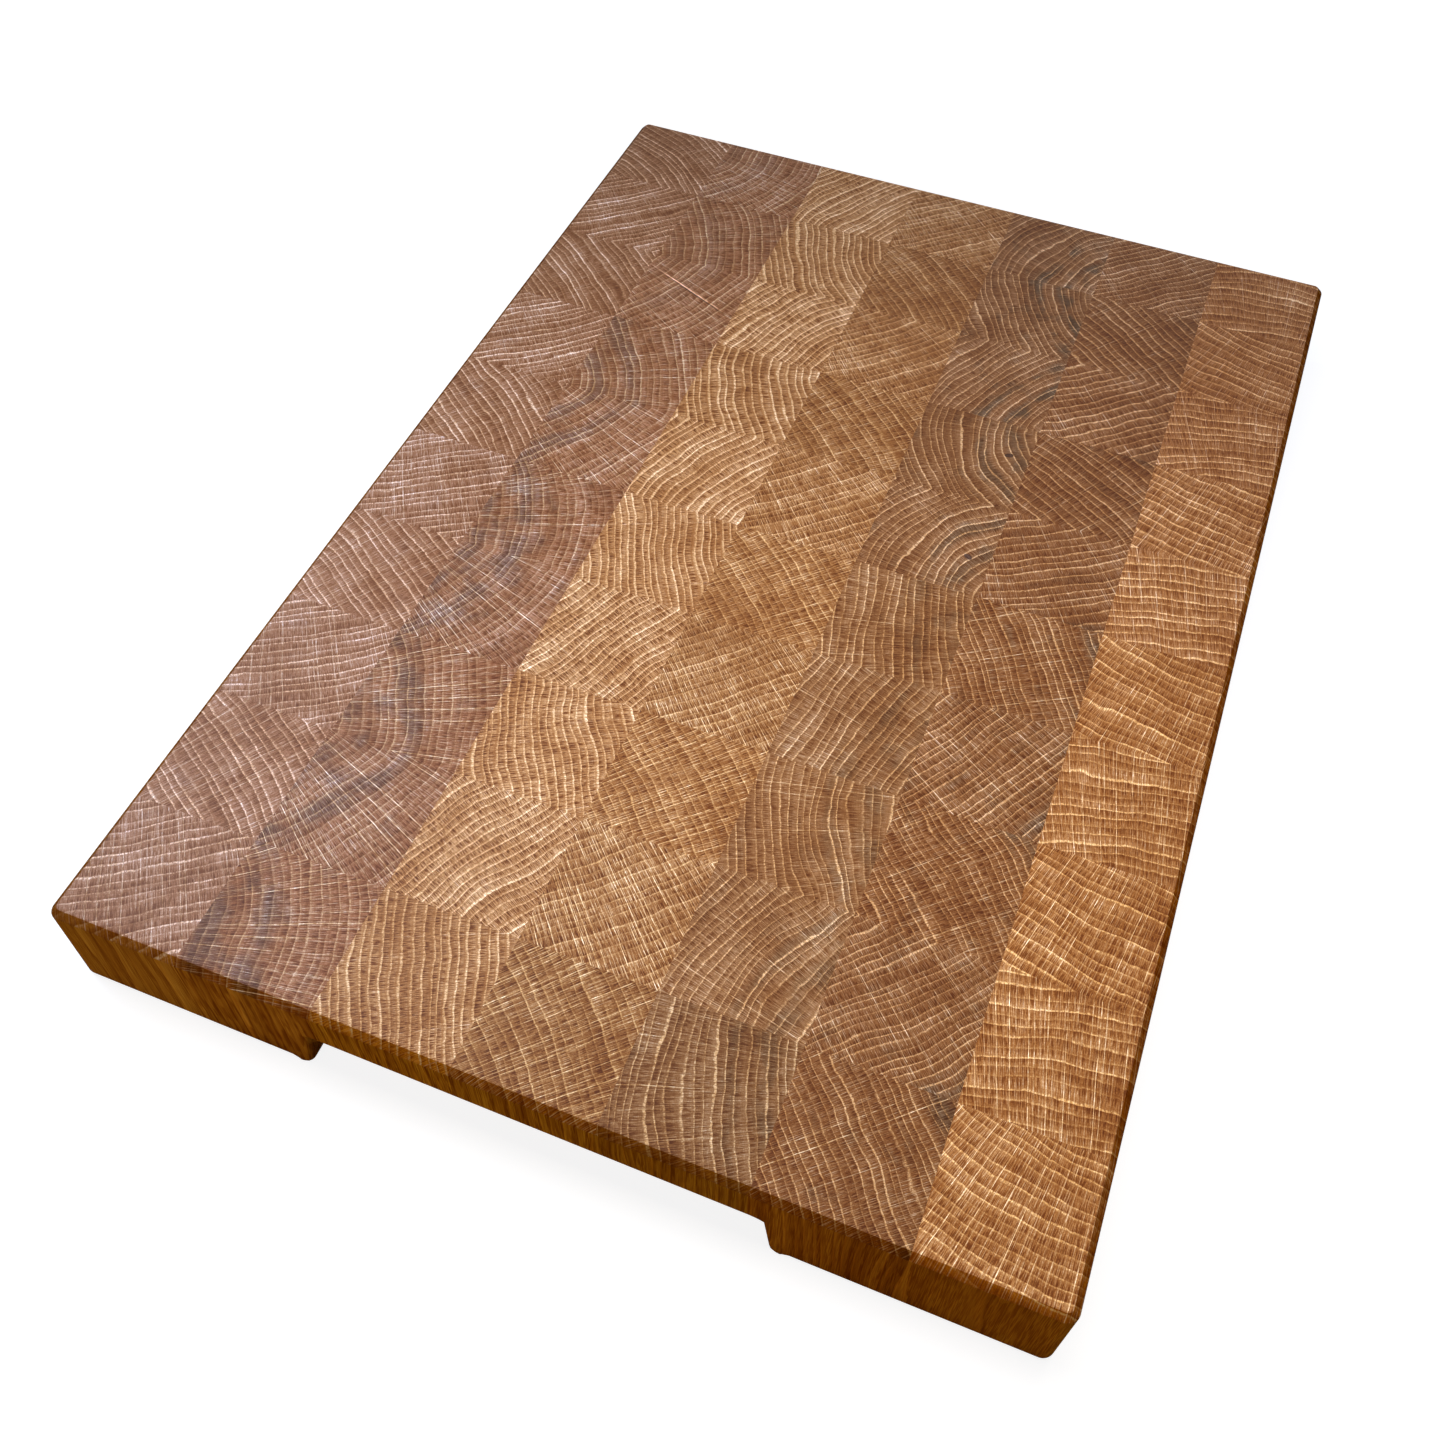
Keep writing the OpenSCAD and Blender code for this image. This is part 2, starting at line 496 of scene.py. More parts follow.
# %% [markdown]
# ## Faces and a map for the paint
#
# Four neighbouring points of a grid make one face. Each face corner also gets a place on a flat square, as
# on a sheet of paper wrapped round the block: the top takes the largest part, because it is what one looks
# at, the underside a smaller one, and the sides a strip along the bottom. When the model leaves Blender, its
# colours are painted on there.


# %% Helpers for faces and the paint map
def quads(grid):
    """Faces of a grid of point numbers: each has a point, its neighbours in both directions and the one
    across."""
    return np.stack([grid[:-1, :-1], grid[1:, :-1], grid[1:, 1:], grid[:-1, 1:]], axis=-1).reshape(-1, 4)


def unrolled(points):
    """Distance along both directions of a grid, from 0 to 1, taking the longest step between neighbouring
    lines."""
    across = np.linalg.norm(np.diff(points, axis=0), axis=2).max(axis=1)
    along = np.linalg.norm(np.diff(points, axis=1), axis=2).max(axis=0)
    across = np.append(0.0, np.cumsum(across)) / across.sum()
    along = np.append(0.0, np.cumsum(along)) / along.sum()
    return np.stack(np.meshgrid(across, along, indexing="ij"), axis=-1)


def patch(places, low, high):
    """Fits places from 0 to 1 into the part of the paint map between two corners."""
    low = np.array(low)
    return low + places * (np.array(high) - low)


print("a grid of 3 by 3 points has", len(quads(np.arange(9).reshape(3, 3))), "faces")

# %% Join the skin into a mesh
top_part = ((0.01, 0.345), (0.655, 0.99))
foot_part = ((0.675, 0.66), (0.99, 0.99))
side_part = ((0.01, 0.325), (0.99, 0.01))
sharp_angle = 32.0
below_top = 0.2
above_table = 0.3


def block_mesh(name, stave, strip):
    """Builds the closed mesh of a block in metres, and returns it with its points in millimetres and, for
    each face, 1 on the sides, their bevel and the recess, and 0 elsewhere."""
    top, sides, foot = block_points(stave, strip)
    across, along = top.shape[:2]
    rim = sides.shape[1]
    top_numbers = np.arange(across * along).reshape(across, along)
    foot_numbers = top_numbers + across * along
    side_numbers = 2 * across * along + np.arange(len(sides) * rim).reshape(-1, rim)
    ring = np.vstack([round_the_rim(top_numbers)[None], side_numbers, round_the_rim(foot_numbers)[None]])
    ring = np.hstack([ring, ring[:, :1]])
    points = np.concatenate([top.reshape(-1, 3), foot.reshape(-1, 3), sides.reshape(-1, 3)])
    faces = np.concatenate([quads(top_numbers), quads(foot_numbers)[:, ::-1], quads(ring)])
    first_foot = (across - 1) * (along - 1)
    first_side = 2 * first_foot

    places = np.zeros((len(points), 2))
    places[top_numbers] = patch(unrolled(top), *top_part)
    places[foot_numbers] = patch(unrolled(foot), *foot_part)
    cap_corners = places[faces[:first_side]].reshape(-1, 2)
    side_places = patch(unrolled(points[ring])[..., ::-1], *side_part).reshape(-1, 2)
    side_corners = side_places[quads(np.arange(ring.size).reshape(ring.shape))].reshape(-1, 2)

    mesh = bpy.data.meshes.new(name)
    mesh.from_pydata((points / METRE).tolist(), [], faces.tolist())
    paint = mesh.uv_layers.new(name="OFBake")
    paint.uv.foreach_set("vector", np.concatenate([cap_corners, side_corners]).astype(np.float32).ravel())
    mesh.shade_smooth()
    mesh.set_sharp_from_angle(angle=np.radians(sharp_angle))
    on_side = np.zeros(len(faces), np.int32)
    on_side[first_foot:first_side] = points[quads(foot_numbers), 2].max(axis=1) > above_table
    on_side[first_side:] = points[quads(ring), 2].mean(axis=1) < thickness - below_top
    return mesh, points, on_side


mesh, points, on_side = block_mesh("trial", 2, 1)
print("a block beside the recess has", len(mesh.polygons), "faces, and is valid:",
      not mesh.validate(verbose=True))
bpy.data.meshes.remove(mesh)

# %% [markdown]
# ## The log
#
# Each stave came from another log, so its yearly rings curve round another heart. The saw opened the panel
# at every strip, and the two faces of one cut lie side by side in the board like an open book. That is why
# the pattern is mirrored at each joint, and why it changes more from one pair to the next, which are almost
# 80 mm apart in the log. The hearts below are given in millimetres from the middle of a block, to the right
# and to the back, with the width of a year. They were judged from the curve of the rings in each pair.

# %% Place the heart of each log
hearts = {
    1: [(-150, -223), (-124, -189), (-126, -201), (-150, -181), (-99, -117), (-50, -76)],
    2: [(-68, 28), (-80, 38), (-78, 33), (-90, 48), (-97, 47), (-48, 14)],
    3: [(220, -111), (250, -134), (320, -154), (76, -34), (115, -56), (84, -47)],
    4: [(-200, 200), (-175, 176), (-230, 233), (-125, 131), (-115, 114), (-150, 165)],
    5: [(90, -31), (107, -40), (130, -33), (45, -23), (69, -35), (60, -31)],
    6: [(-260, 226), (-229, 217), (-330, 205), (-83, 137), (-187, 227), (-165, 187)],
    7: [(18, -99), (37, -186), (35, -172), (65, -275), (28, -120), (11, -84)],
}
year_widths = {
    1: [2.8, 2.7, 2.8, 2.6, 2.5, 2.5],
    2: [2.6, 2.6, 2.6, 2.7, 2.7, 2.7],
    3: [2.5, 2.4, 2.4, 3.0, 2.8, 2.8],
    4: [2.6, 2.6, 2.5, 2.7, 2.8, 2.8],
    5: [2.5, 2.5, 2.7, 2.7, 2.6, 2.8],
    6: [2.2, 2.2, 2.3, 3.2, 3.2, 2.6],
    7: [2.75, 2.9, 3.0, 3.4, 3.6, 3.6],
}
print("hearts of", len(hearts), "logs, for", len(hearts[1]), "pairs of strips each")

# %% Find each point's place in its log
saw_cut = 3.0
bends = {1: 0.3, 2: 0.4, 3: 0.5, 4: 0.3, 5: 0.7, 6: 0.4, 7: 0.5}
wave_lengths = (47.0, 31.0, 19.0)
full_bend_length = 40.0
wave_climb = 0.35


def place_in_log(points, stave, strip):
    """Where each point of a block was in its log: years from the heart, millimetres round it and millimetres
    up it. Years are the distance from the heart over the width of a year. Round is the angle times the
    distance of the block's middle. Slow waves bend the rings a little but not the rays, and the odd strips
    are mirrored."""
    turned = 1.0 if strip % 2 == 0 else -1.0
    pair = strip // 2
    right = points[:, 0] - (stave_lines[stave - 1] + stave_lines[stave]) / 2
    back = turned * (points[:, 1] - (strip_lines[strip - 1] + strip_lines[strip]) / 2)
    up = pair * 2 * (thickness + saw_cut) - turned * (thickness - points[:, 2] + saw_cut / 2)
    random = np.random.default_rng(stave)
    wave = np.zeros((2, len(points)))
    for length in wave_lengths:
        heading = random.uniform(0, 2 * np.pi, 2)
        start = random.uniform(0, 2 * np.pi, 2)
        for axis in (0, 1):
            travel = right * np.cos(heading[axis]) + back * np.sin(heading[axis]) + up * wave_climb
            bend = bends[stave] * length / full_bend_length
            wave[axis] += bend * np.sin(2 * np.pi * travel / length + start[axis])
    heart = np.array(hearts[stave][pair], float)
    far = np.linalg.norm(heart)
    toward = -heart / far
    from_right = right - heart[0]
    from_back = back - heart[1]
    years = np.hypot(from_right + wave[0], from_back + wave[1]) / year_widths[stave][pair]
    sideways = toward[0] * from_back - toward[1] * from_right
    straight = toward[0] * from_right + toward[1] * from_back
    return np.stack([years, np.arctan2(sideways, straight) * far, up], axis=-1)


trial = place_in_log(np.array([[0.0, 0.0, thickness]]), 4, 5)
print("one point of block (4, 5) grew", np.round(trial[0], 1), "(year, mm round, mm up)")

# %% [markdown]
# ## Mineral bands
#
# Where a tree took up minerals, a few of its rings turned greyish. Three of the logs have such bands, which
# show as dark arcs in all their blocks. Each band has a middle, in millimetres outwards from the middle of
# the block, and a half width. Higher up the log the stains fade to about a third, but in the fifth log they
# grow stronger.

# %% Place the mineral bands
mineral_bands = {2: [(-5.0, 5.0), (-19.0, 4.0)], 5: [(-16.0, 3.0), (-6.0, 2.0)], 6: [(25.0, 4.5)]}
minerals_left = {5: 2.2}
usually_left = 0.35


def minerals(log, stave, strip):
    """How much of a band each point lies in, from 0 to 1: a bell curve over the distance from the band's
    middle."""
    pair = strip // 2
    outward = log[:, 0] * year_widths[stave][pair] - np.linalg.norm(hearts[stave][pair])
    bells = [np.exp(-((outward - middle) / half) ** 2) for middle, half in mineral_bands.get(stave, [])]
    return np.sum([np.zeros(len(log)), *bells], axis=0).clip(0.0, 1.0)


print("logs with mineral bands:", list(mineral_bands))

# %% [markdown]
# ## The finish: oak, sawn across, sanded and oiled
#
# On sawn-across oak one sees pale porous bands where each spring began, browner wood after them, and bright
# lines that run straight out from the heart, the rays. Everywhere there are fine dots, the cut ends of the
# fibres. On the sides of the board the same fibres show as upright streaks. So the patterns are drawn in the
# log's own directions: a pattern that is short round the heart but long up the log gives dots on top and
# streaks on the sides, with no extra work. A size in the log is in years, millimetres round the heart and
# millimetres up, and a year is 2.2 to 3.6 mm wide. Noise lies mostly between 0.3 and 0.7, so smooth steps
# over a part of that range sharpen it. Such a step is written as the range, then the values at its ends.

# %% Patches of a given size in the log
smooth = {"interpolation_type": "SMOOTHSTEP"}
times = {"operation": "MULTIPLY"}
times_plus = {"operation": "MULTIPLY_ADD"}
less = {"operation": "SUBTRACT"}


def patches(tree, log, size, seed, detail=1.0):
    """Soft random patches, about as large as the given size: noise on the place in the log, divided by that
    size and moved on by the seed."""
    finer = tuple(1.0 / part for part in size)
    sized = add(tree, "VectorMath", log, finer, (seed, seed, seed), **times_plus)
    return add(tree, "TexNoise", named={"Vector": sized, "Scale": 1.0, "Detail": detail}, output="Fac")


print("patches have a size in years, millimetres round the heart and millimetres up")

# %% Yearly rings
ring_wavering = [((2.4, 500.0, 600.0), 1.6), ((2.2, 8.0, 60.0), 0.50), ((0.8, 1.6, 14.0), 0.20)]
pore_size = (0.30, 0.36, 9.0)
pore_step = (0.36, 0.64, 0.15, 1.40)
weak_stretch = (3.0, 11.0, 90.0)
weak_step = (0.35, 0.62, 0.60, 1.15)
spring_begins = 0.08
strongest_spring = 1.25
late_from = 0.3


def year_rings(tree, log, spring_part, steadiness, seed):
    """Three numbers for each point: how much spring wood it is, how late in its year it grew, both from 0 to
    1, and a tone for its year. The year's fraction, with its borders wavering by noise, rises sharply as
    spring begins, fades into summer, and grows later until the next spring. Unless the log is steady, some
    springs are stronger than others. Slow noise weakens each here and there, and fine noise breaks it into
    beads, its pores."""
    year = add(tree, "SeparateXYZ", log)
    for size, sway in ring_wavering:
        wander = add(tree, "Math", patches(tree, log, size, seed + size[0]), 0.5, **less)
        year = add(tree, "Math", wander, sway, year, **times_plus)
    part = add(tree, "Math", year, operation="FRACT")
    whole = add(tree, "Math", year, operation="FLOOR")
    tone = add(tree, "TexWhiteNoise", named={"W": whole}, noise_dimensions="1D", output="Value")
    pores = patches(tree, log, pore_size, seed)
    weak = patches(tree, log, weak_stretch, seed + 8)
    spring = add(tree, "MapRange", part, 0.0, spring_begins, **smooth)
    for factor in [
        add(tree, "MapRange", part, spring_begins, spring_part, 1.0, 0.0, **smooth),
        add(tree, "MapRange", pores, *pore_step, **smooth),
        add(tree, "MapRange", weak, *weak_step, **smooth),
        add(tree, "MapRange", tone, 0.0, 1.0, steadiness, strongest_spring, **smooth),
    ]:
        spring = add(tree, "Math", spring, factor, **times)
    late = add(tree, "MapRange", part, late_from, 1.0, **smooth)
    return spring, late, tone


print("spring wood begins within", spring_begins, "of a year")

# %% Rays
ray_sway_size = (6.0, 16.0, 60.0)
ray_sway = 0.8
ray_scatter = 0.75
ray_height = 50.0
ray_to_ray = 17.3
ray_edge = (0.2, 0.7)
broken_step = (0.32, 0.52)
bright_step = (0.1, 1.0, 0.2, 1.25)


def straight_rays(tree, log, apart, thick, length, seed):
    """Thin straight lines that run out from the heart. Round the heart, each point measures how far it is
    from the nearest of many scattered lines, and belongs to it within about half its thickness. Each line
    has its own brightness, and noise along it breaks it into pieces of about the given length in years."""
    place = add(tree, "SeparateXYZ", log, output=None)
    sway = patches(tree, log, ray_sway_size, seed + 0.5)
    sway = add(tree, "Math", sway, ray_sway / apart, seed, **times_plus)
    around = add(tree, "Math", place[1], 1.0 / apart, sway, **times_plus)
    scattered = {"W": around, "Scale": 1.0, "Randomness": ray_scatter}
    nearest = add(tree, "TexVoronoi", named=scattered, voronoi_dimensions="1D", output=None)
    inside, outside = [part * thick / apart for part in ray_edge]
    line = add(tree, "MapRange", nearest["Distance"], inside, outside, 1.0, 0.0, **smooth)
    along = add(tree, "CombineXYZ", nearest["W"], place[0], place[2])
    along = add(tree, "VectorMath", along, (ray_to_ray, 1.0 / length, 1.0 / ray_height), **times)
    shows = add(tree, "TexNoise", named={"Vector": along, "Scale": 1.0, "Detail": 1.0}, output="Fac")
    shows = add(tree, "MapRange", shows, *broken_step, **smooth)
    chance = add(tree, "SeparateXYZ", nearest["Color"])
    bright = add(tree, "MapRange", chance, *bright_step, **smooth)
    bright = add(tree, "Math", shows, bright, **times)
    return add(tree, "Math", line, bright, **times)


print("rays sway by up to", ray_sway, "mm")

# %% [markdown]
# ## Two marks in the wood
#
# Two small marks tell this board from another. In the second log a crack opened along a ray while the wood
# dried, and shows as a thin pale line with a dark one beside it. In the fifth, the stem of a tiny branch
# left a dark knot, which shows in both halves of its pair. Each mark has a colour, a middle in the log and a
# reach.

# %% Place the marks
marks = {
    2: [("#f0bc98", (38.8, 4.0, 292.0), (16.0, 0.70, 12.5)),
        ("#40241a", (40.0, 3.4, 292.0), (13.0, 0.55, 12.5))],
    5: [("#4a3020", (13.6, -2.0, 228.0), (0.50, 1.40, 60.0))],
}
mark_edge = 0.86


def mark(tree, log, middle, reach):
    """1 near a place in the log and 0 beyond its reach: a step over the distance from the middle, measured
    in reaches."""
    off = add(tree, "VectorMath", log, middle, **less)
    off = add(tree, "VectorMath", off, reach, operation="DIVIDE")
    away = add(tree, "VectorMath", off, operation="LENGTH", output="Value")
    return add(tree, "MapRange", away, mark_edge, 1.0, 1.0, 0.0, **smooth)


print("marks in staves", list(marks))

# %% [markdown]
# ## Tones of the seven staves
#
# Each log has its own tones, from a purplish brown on the left to gold on the right. Five colours describe
# one: summer wood, spring wood, rays, mineral bands, and the sides of the board, which were planed along the
# fibres and are painted much deeper and redder, with the shade that falls on them. Three numbers say how
# plainly minerals, spring wood and rays show. Four more say how much of a year the spring wood takes, how
# alike the years are, how many millimetres lie between the broad rays, and how strongly short dark dashes
# comb the wood.
#
# The last four say what changes up the log, which is from the front strip to the back one. The first is a
# painted sheen: how much paler and greyer the strips that were not turned end for end are painted, as their
# fibres lean the other way in the light, stronger at the back. Darkening is how much the wood darkens on the
# way. Butt is how light the lowest end of the log is, in the front strip, where 1 is as light as the rest.
# The last is a painted colour of the light: how much yellower the wood is painted towards the back, or
# cooler where it is below 0.

# %% Choose the tones
# The colour of the sides is painted deeper and redder, with the shade that falls on them
colour_names = ("summer", "spring", "rays", "minerals", "sides")
stave_colours = {
    1: ("#8e6143", "#e5bea0", "#f3d5b8", "#684a40", "#8b5211"),
    2: ("#895838", "#c6a27d", "#f3d8b6", "#573d36", "#8b5211"),
    3: ("#a47243", "#e4b988", "#e2bb91", "#744924", "#8a510b"),
    4: ("#8c592c", "#d2a269", "#eac089", "#6a431c", "#8a510b"),
    5: ("#835630", "#d3a470", "#e0b684", "#5b422b", "#8a510b"),
    6: ("#7b4b25", "#ca9864", "#eac494", "#513b28", "#824709"),
    7: ("#965d2c", "#e6ad6a", "#f2c48c", "#73451e", "#824709"),
}
habit_names = ("shown", "spring_part", "steadiness", "ray_gap", "combing",
               "turning", "darkening", "butt", "mellowing")
stave_habits = {
    1: ((0.35, 1.10, 0.48), 0.29, 0.40, 1.50, 0.75, -0.7, 0.00, 1.00, 0.85),
    2: ((0.72, 0.80, 0.95), 0.29, 0.40, 2.00, 0.95, 0.8, -0.06, 1.04, 0.80),
    3: ((0.20, 1.65, 0.50), 0.31, 0.80, 4.50, 1.20, 0.9, 0.02, 0.93, 0.00),
    4: ((0.20, 0.88, 1.08), 0.23, 0.60, 0.85, 1.00, 1.3, 0.05, 0.84, -0.30),
    5: ((0.55, 1.40, 0.68), 0.24, 0.45, 2.40, 0.85, 0.9, 0.10, 0.80, -0.80),
    6: ((0.70, 1.50, 0.85), 0.24, 0.55, 2.60, 0.90, 1.1, 0.02, 0.94, -0.40),
    7: ((0.25, 1.20, 0.90), 0.27, 0.40, 1.15, 0.85, 0.4, 0.06, 1.01, -1.40),
}
tones = {}
for stave, colours in stave_colours.items():
    tones[stave] = dict(zip(colour_names + habit_names, colours + stave_habits[stave]))
print("tones for", len(tones), "staves")

# %% [markdown]
# ## All the patterns of one stave
#
# The single patterns come together here. Real fibres are thinner than a hair, too fine to show in a picture
# of the whole board, so their dots are drawn about 0.3 mm wide. Short dark dashes comb mostly the summer
# wood. Larger clouds keep the wood from looking printed, and fine lines along the rings are the growth of a
# few weeks. Up the log the spring lines grow plainer and the rays fainter, as they do in the photograph from
# front to back.

# %% Collect the patterns of a stave
seed_step = 7.3
grain_patches = {
    "fibres": {"size": (0.10, 0.28, 12.0), "seed": 3, "detail": 2.0},
    "growth lines": {"size": (0.16, 10.0, 60.0), "seed": 6, "detail": 2.0},
    "dashes": {"size": (1.2, 0.21, 9.0), "seed": 9},
    "fat years": {"size": (1.5, 30.0, 120.0), "seed": 10},
    "stains": {"size": (2.2, 10.0, 80.0), "seed": 4},
    "small clouds": {"size": (2.4, 8.0, 80.0), "seed": 7},
    "clouds": {"size": (8.0, 24.0, 120.0), "seed": 5},
}
broad_ray = {"thick": 0.20, "length": 16.0}
narrow_ray = {"apart": 0.50, "thick": 0.17, "length": 1.4}
narrow_brightness = 0.30
dash_step = (0.40, 0.60)
summer_step = (0.0, 0.2, 0.4, 1.0)
band_strength = 0.35
stain_step = (0.52, 1.0)
# These three go from one height up the log to another, in millimetres
spring_plainer = (100.0, 260.0, 0.88, 1.30)
rays_fainter = (60.0, 330.0, 1.0, 0.45)
stains_change = (190.0, 290.0)


def stave_grain(tree, stave):
    """Every pattern of a stave's wood by name, each a number for a point, and the place in the log that they
    follow. Rays are the brighter of broad and narrow ones. Dashes keep to the summer wood, by a factor that
    rises as the year grows late. Minerals are the stains that a band lifts over a threshold."""
    tone = tones[stave]
    seed = seed_step * stave
    log = add(tree, "Attribute", attribute_name="log", output="Vector")
    up = add(tree, "SeparateXYZ", log, output=2)
    wood = {"log": log, "up": up}
    for name, kind in grain_patches.items():
        wood[name] = patches(tree, log, kind["size"], seed + kind["seed"], kind.get("detail", 1.0))

    spring, late, year = year_rings(tree, log, tone["spring_part"], tone["steadiness"], seed)
    plainer = add(tree, "MapRange", up, *spring_plainer, **smooth)
    wood["spring"] = add(tree, "Math", spring, plainer, **times)
    wood["late"] = late
    wood["year"] = year

    broad = straight_rays(tree, log, apart=tone["ray_gap"], seed=seed + 1, **broad_ray)
    narrow = straight_rays(tree, log, seed=seed + 2, **narrow_ray)
    narrow = add(tree, "Math", narrow, narrow_brightness, **times)
    rays = add(tree, "Math", broad, narrow, **larger)
    fainter = add(tree, "MapRange", up, *rays_fainter, **smooth)
    wood["rays"] = add(tree, "Math", rays, fainter, **times)

    dashes = add(tree, "MapRange", wood["dashes"], *dash_step, **smooth)
    dashes = add(tree, "Math", dashes, 0.5, **less)
    summer = add(tree, "MapRange", late, *summer_step, **smooth)
    wood["dashes"] = add(tree, "Math", dashes, summer, 0.5, **times_plus)

    band = add(tree, "Attribute", attribute_name="minerals", output="Fac")
    stains = add(tree, "Math", band, band_strength, wood["stains"], **times_plus)
    stains = add(tree, "MapRange", stains, *stain_step, **smooth)
    left = minerals_left.get(stave, usually_left)
    left = add(tree, "MapRange", up, *stains_change, 1.0, left, **smooth)
    wood["minerals"] = add(tree, "Math", stains, left, **times)
    return wood


print("patches in the wood:", list(grain_patches))

# %% [markdown]
# ## Oak across and along the grain
#
# On the sides of the board the pale lines almost vanish. On the bevel the fibres are still cut across, so
# its pattern is that of the top, but it is painted as deep and red as the sides, with the shade that falls on
# it. So each colour has a painted shade tint for the bevel, and a lightness against the plain colour of the
# sides, whose shade is painted in too. The way the surface leans tells one from the other, so the painted
# shade of the bevel also lies in the ceiling of the recess.

# %% Lay the colours over each other
colour_mix = {"data_type": "RGBA", "output": 2}
# Painted shade: these tints darken and redden the colours of the bevel and the recess ceiling
bevel_shade_tints = {"summer": (0.71, 0.49, 0.08), "minerals": (0.71, 0.49, 0.08),
               "spring": (0.39, 0.32, 0.19), "rays": (0.46, 0.38, 0.30)}
side_lightness = {"summer": 1.0, "minerals": 0.9, "spring": 1.25, "rays": 1.25}
upright_below = 0.2
leaning_above = 0.6


def oak_colour(tree, stave, sawn_across, wood):
    """Summer wood, with mineral bands, spring wood, rays and marks laid over it in that order, each by its
    pattern times how plainly it shows. Along the grain, the colours go from those of the sides to those of
    the bevel as the upward part of the surface's direction grows, and both have painted shade in them."""
    tone = tones[stave]
    colours = {name: linear(tone[name]) for name in bevel_shade_tints}
    if not sawn_across:
        outward = add(tree, "TexCoord", output="Normal")
        tilt = add(tree, "Math", add(tree, "SeparateXYZ", outward, output=2), operation="ABSOLUTE")
        leaning = add(tree, "MapRange", tilt, upright_below, leaning_above, **smooth)
        side = np.array(linear(tone["sides"]))
        for name, tint in bevel_shade_tints.items():
            bevel = (*(np.array(colours[name][:3]) * tint).tolist(), 1.0)
            upright = (side * side_lightness[name]).tolist()
            colours[name] = add(tree, "Mix", named={0: leaning, 6: upright, 7: bevel}, **colour_mix)
    colour = colours["summer"]
    for name, amount in zip(("minerals", "spring", "rays"), tone["shown"]):
        mask = add(tree, "Math", wood[name], amount, **times)
        colour = add(tree, "Mix", named={0: mask, 6: colour, 7: colours[name]}, **colour_mix)
    for tint, middle, reach in marks.get(stave, []) if sawn_across else []:
        mask = mark(tree, wood["log"], middle, reach)
        colour = add(tree, "Mix", named={0: mask, 6: colour, 7: linear(tint)}, **colour_mix)
    return colour


print("tints for", list(bevel_shade_tints))

# %% [markdown]
# ## Light and dark in the wood
#
# Late wood, dashes, fibres and clouds make the oak lighter or darker. Darker oak is also redder, so the
# product of all these is raised to a higher power in green than in red, and to a still higher one in blue.
# Two more tints follow the log upwards, and both are painted light: a painted sheen on the strips that were
# not turned end for end, and a painted colour of the light towards the back.

# %% Shade and tint the wood
deepening = (1.0, 1.5, 2.25)
# Painted sheen: the strips that were not turned are painted paler and greyer, more so at the back
painted_sheen_tint = np.array([1.05, 1.11, 1.22])
# Painted light: a warmer or cooler colour of the light, painted towards the back
back_light_tint = np.array([1.0, 0.97, 0.85])
painted_sheen_lightness = 0.09
# How strongly dashes and fibres show on wood sawn across, True, and along the grain, False
dash_depth = {True: 0.5, False: 0.25}
fibre_depth = {True: 0.58, False: 0.35}
# Heights up the log, in millimetres, from which and to which each change goes on
darkening_goes = (0.0, 380.0)
strips_part = (150.0, 230.0)
butt_ends = (10.0, 40.0)
back_light_goes = (120.0, 300.0)


def oak_shade(tree, stave, sawn_across, wood):
    """A factor for red, green and blue: the product of what each pattern gives between its two ends, raised
    to the three powers. Along the grain, dashes and fibres show less."""
    tone = tones[stave]
    comb = tone["combing"] * dash_depth[sawn_across]
    fleck = fibre_depth[sawn_across]
    on_the_way = add(tree, "MapRange", wood["up"], *darkening_goes, **smooth)
    shade = 1.0
    for pattern, first, last in [
        (wood["late"], 1.06, 0.80),
        (wood["year"], 0.90, 1.10),
        (wood["dashes"], 1 + comb, 1 - comb),
        (wood["fibres"], 1 - fleck, 1 + fleck),
        (wood["growth lines"], 0.75, 1.25),
        (wood["clouds"], 0.70, 1.30),
        (wood["small clouds"], 0.75, 1.25),
        (wood["fat years"], 0.70, 1.30),
        (on_the_way, 1 + tone["darkening"], 1 - tone["darkening"]),
    ]:
        factor = add(tree, "MapRange", pattern, 0.0, 1.0, first, last)
        shade = add(tree, "Math", shade, factor, **times)
    channels = [add(tree, "Math", shade, power, operation="POWER") for power in deepening]
    return add(tree, "CombineXYZ", *channels)


def oak_tint(tree, stave, wood):
    """A factor for red, green and blue. Strips that were not turned get a painted sheen: the sheen tint
    raised to half the stave's sheen, and turned ones its inverse. The lightness of this painted sheen parts
    higher up, and the butt has its own.
    The back light tint, a painted colour of the light raised to the stave's warmth, comes in on the way up."""
    tone = tones[stave]
    up = wood["up"]
    facing = add(tree, "Attribute", attribute_name="facing", output="Fac")
    # Painted sheen on the strips that were not turned, with its lightness growing towards the back
    sheen_of_strip = painted_sheen_tint ** (0.5 * tone["turning"])
    both_ways = {0: facing, 6: (*(1 / sheen_of_strip).tolist(), 1.0), 7: (*sheen_of_strip.tolist(), 1.0)}
    tint = add(tree, "Mix", named=both_ways, **colour_mix)
    parting = painted_sheen_lightness * tone["turning"]
    parting = add(tree, "MapRange", up, *strips_part, 0.0, parting, **smooth)
    butt = add(tree, "MapRange", up, *butt_ends, tone["butt"], 1.0, **smooth)
    facing = add(tree, "Math", facing, 0.5, **less)
    lightness = add(tree, "Math", facing, parting, butt, **times_plus)
    tint = add(tree, "VectorMath", tint, named={"Scale": lightness}, operation="SCALE")
    # Painted colour of the light: yellower or cooler towards the back
    back_light = (back_light_tint ** tone["mellowing"]).tolist()
    on_the_way = add(tree, "MapRange", up, *back_light_goes, **smooth)
    back_light = add(tree, "Mix", named={0: on_the_way, 6: white, 7: (*back_light, 1.0)}, **colour_mix)
    return add(tree, "VectorMath", tint, back_light, **times)


print("powers of the shade in red, green and blue:", deepening)

